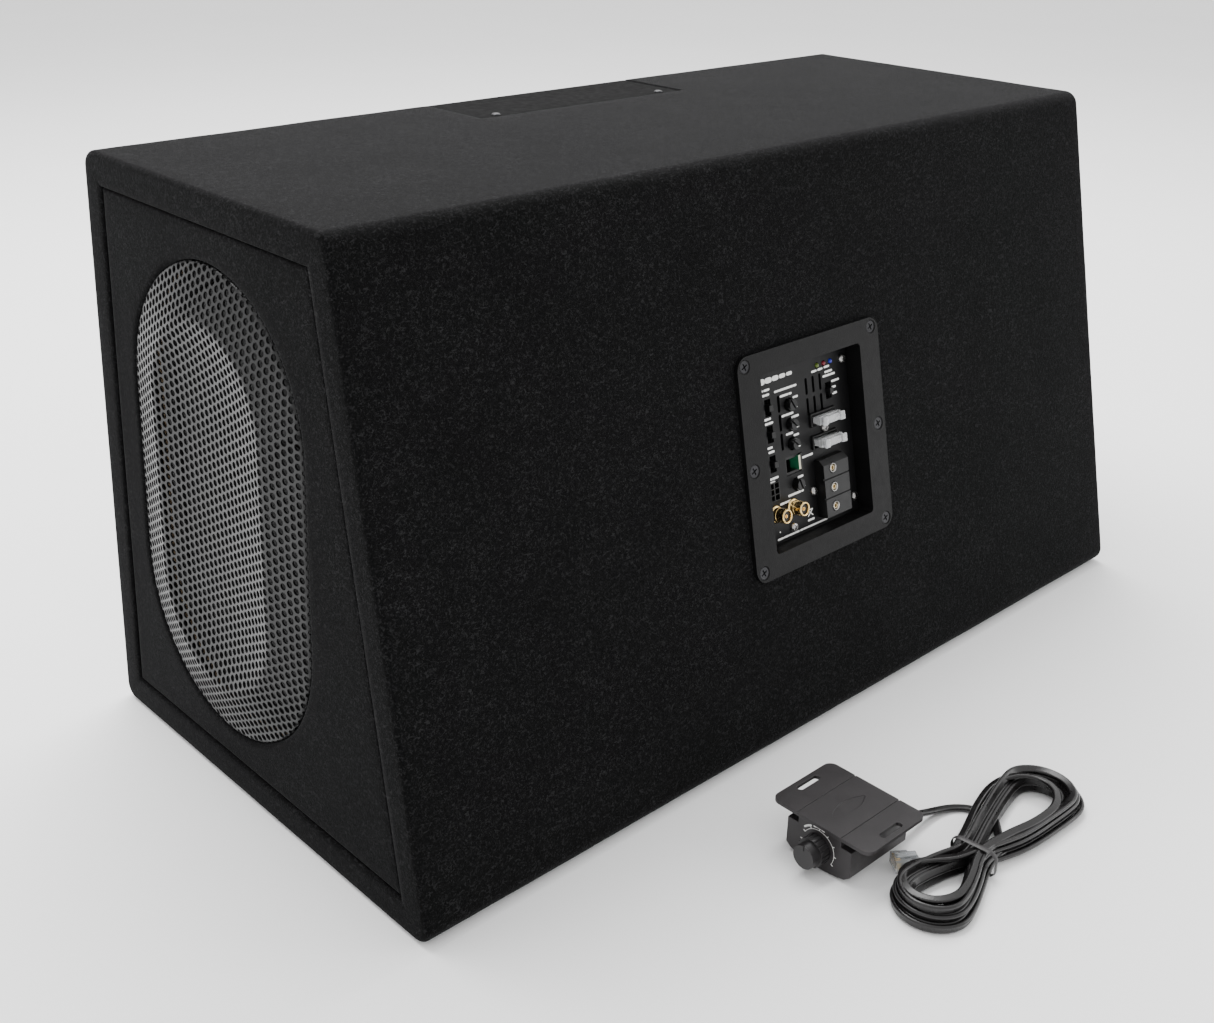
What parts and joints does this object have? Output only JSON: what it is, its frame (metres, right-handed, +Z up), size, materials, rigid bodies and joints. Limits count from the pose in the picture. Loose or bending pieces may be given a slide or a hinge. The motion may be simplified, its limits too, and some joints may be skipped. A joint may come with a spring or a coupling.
{
  "type": "powered car subwoofer",
  "caption": "Carpeted wedge box with an oval driver behind a mesh grille in each end, a sunk amplifier panel in the sloped front and a wired bass remote.",
  "frame": {"origin": "centre of the box's base, on the surface it stands on", "axes": "+X along the box, +Y towards the upright back, -Y towards the sloped front with the amplifier panel, +Z up"},
  "size_m": [0.6046, 0.4326, 0.3203],
  "materials": {
    "fibreboard": "raw",
    "carpet": "needle felt",
    "pocket_sheet": "satin",
    "bright_screw": "polished",
    "black_screw": "black oxide",
    "grille_steel": "satin grey paint",
    "basket_steel": "black paint",
    "surround_rubber": "matt",
    "spider_cloth": "impregnated cloth",
    "cone_paper": "coated paper",
    "coil_wire": "lacquered",
    "ferrite": "sintered",
    "plated_steel": "zinc plated",
    "bezel_plastic": "fine texture",
    "panel_paint": "satin black",
    "case_steel": "plain",
    "circuit_laminate": "solder resist",
    "heat_sink_aluminium": "extruded",
    "capacitor_sleeve": "sleeve",
    "black_moulding": "moulded",
    "nickel_screw": "nickel over brass",
    "fuse_body": "clear",
    "gold_plate": "gold plated",
    "light_lens": "tinted lens",
    "lead_insulation": "soft",
    "remote_plastic": "fine texture",
    "cord_jacket": "satin vinyl",
    "plug_body": "clear",
    "cord_fittings": "moulded"
  },
  "bodies": {
    "cabinet": {"bottom_board": "fibreboard", "top_board": "fibreboard", "back_board": "fibreboard", "front_board": "fibreboard", "left_end_board": "fibreboard", "right_end_board": "fibreboard", "carpet_wrap": "carpet", "base_carpet": "carpet", "end_carpets": "carpet", "pocket_plate": "pocket_sheet", "pocket_screws": "bright_screw", "left_grille": "grille_steel", "right_grille": "grille_steel", "baskets": "basket_steel", "surrounds": "surround_rubber", "spiders": "spider_cloth", "magnets": "ferrite", "motor_plates": "plated_steel", "motor_yokes": "plated_steel", "driver_screws": "black_screw", "speaker_wires": "lead_insulation", "amp_bezel": "bezel_plastic", "bezel_screws": "black_screw", "amp_plate": "panel_paint", "plate_screws": "bright_screw", "amp_case": "case_steel", "circuit_board": "circuit_laminate", "heat_sink": "heat_sink_aluminium", "capacitors": "capacitor_sleeve", "terminal_block": "black_moulding", "terminal_screws": "nickel_screw", "fuse_holders": "black_moulding", "fuses": "fuse_body", "rca_jacks": "gold_plate", "speaker_input_socket": "black_moulding", "remote_socket": "black_moulding", "indicator_lights": "light_lens", "control_housings": "black_moulding"},
    "left_cone_body": {"left_cone": "cone_paper", "left_dust_cap": "cone_paper", "left_voice_coil": "coil_wire"},
    "right_cone_body": {"right_cone": "cone_paper", "right_dust_cap": "cone_paper", "right_voice_coil": "coil_wire"},
    "phase_switch": {"phase_slider": "black_moulding"},
    "input_switch": {"input_slider": "black_moulding"},
    "filter_switch": {"filter_slider": "black_moulding"},
    "turn_on_switch": {"turn_on_slider": "black_moulding"},
    "low_pass_trimmer": {"low_pass_rotor": "black_moulding"},
    "subsonic_trimmer": {"subsonic_rotor": "black_moulding"},
    "level_trimmer": {"level_rotor": "black_moulding"},
    "bass_boost_trimmer": {"bass_boost_rotor": "black_moulding"},
    "remote": {"remote_housing": "remote_plastic", "remote_bracket": "remote_plastic", "remote_cord": "cord_jacket", "cord_hank": "cord_jacket", "cord_plug": "plug_body", "cord_tie": "cord_fittings", "cord_gland": "cord_fittings"},
    "remote_dial": {"remote_knob": "remote_plastic"}
  },
  "joints": [
    {"name": "left_cone_travel", "type": "slide", "parent": "cabinet", "child": "left_cone_body", "axis": [-1, 0, 0], "range_m": [-0.006, 0.006], "stiffness_N_per_m": 2500},
    {"name": "right_cone_travel", "type": "slide", "parent": "cabinet", "child": "right_cone_body", "axis": [1, 0, 0], "range_m": [-0.006, 0.006], "stiffness_N_per_m": 2500},
    {"name": "phase_slide", "type": "slide", "parent": "cabinet", "child": "phase_switch", "axis": [0, 0.2035, 0.9791], "range_m": [-0.002, 0.002]},
    {"name": "input_slide", "type": "slide", "parent": "cabinet", "child": "input_switch", "axis": [0, 0.2035, 0.9791], "range_m": [-0.002, 0.002]},
    {"name": "filter_slide", "type": "slide", "parent": "cabinet", "child": "filter_switch", "axis": [0, 0.2035, 0.9791], "range_m": [-0.002, 0.002]},
    {"name": "turn_on_slide", "type": "slide", "parent": "cabinet", "child": "turn_on_switch", "axis": [0, 0.2035, 0.9791], "range_m": [-0.002, 0.002]},
    {"name": "low_pass_turn", "type": "hinge", "parent": "cabinet", "child": "low_pass_trimmer", "pos_m": [-0.01, -0.09663, 0.18044], "axis": [0, -0.9791, 0.2035], "range_deg": [-135, 135]},
    {"name": "subsonic_turn", "type": "hinge", "parent": "cabinet", "child": "subsonic_trimmer", "pos_m": [-0.01, -0.09891, 0.16947], "axis": [0, -0.9791, 0.2035], "range_deg": [-135, 135]},
    {"name": "level_turn", "type": "hinge", "parent": "cabinet", "child": "level_trimmer", "pos_m": [-0.01, -0.10116, 0.15861], "axis": [0, -0.9791, 0.2035], "range_deg": [-135, 135]},
    {"name": "bass_boost_turn", "type": "hinge", "parent": "cabinet", "child": "bass_boost_trimmer", "pos_m": [-0.0093, -0.10597, 0.1355], "axis": [0, -0.9791, 0.2035], "range_deg": [-135, 135]},
    {"name": "remote_lift", "type": "slide", "parent": "cabinet", "child": "remote", "axis": [0, 0, 1], "range_m": [0, 0.06]},
    {"name": "remote_dial_turn", "type": "hinge", "parent": "remote", "child": "remote_dial", "pos_m": [-0.117, -0.2185, 0.0114], "axis": [-1, 0, 0], "range_deg": [-140, 140]}
  ]
}
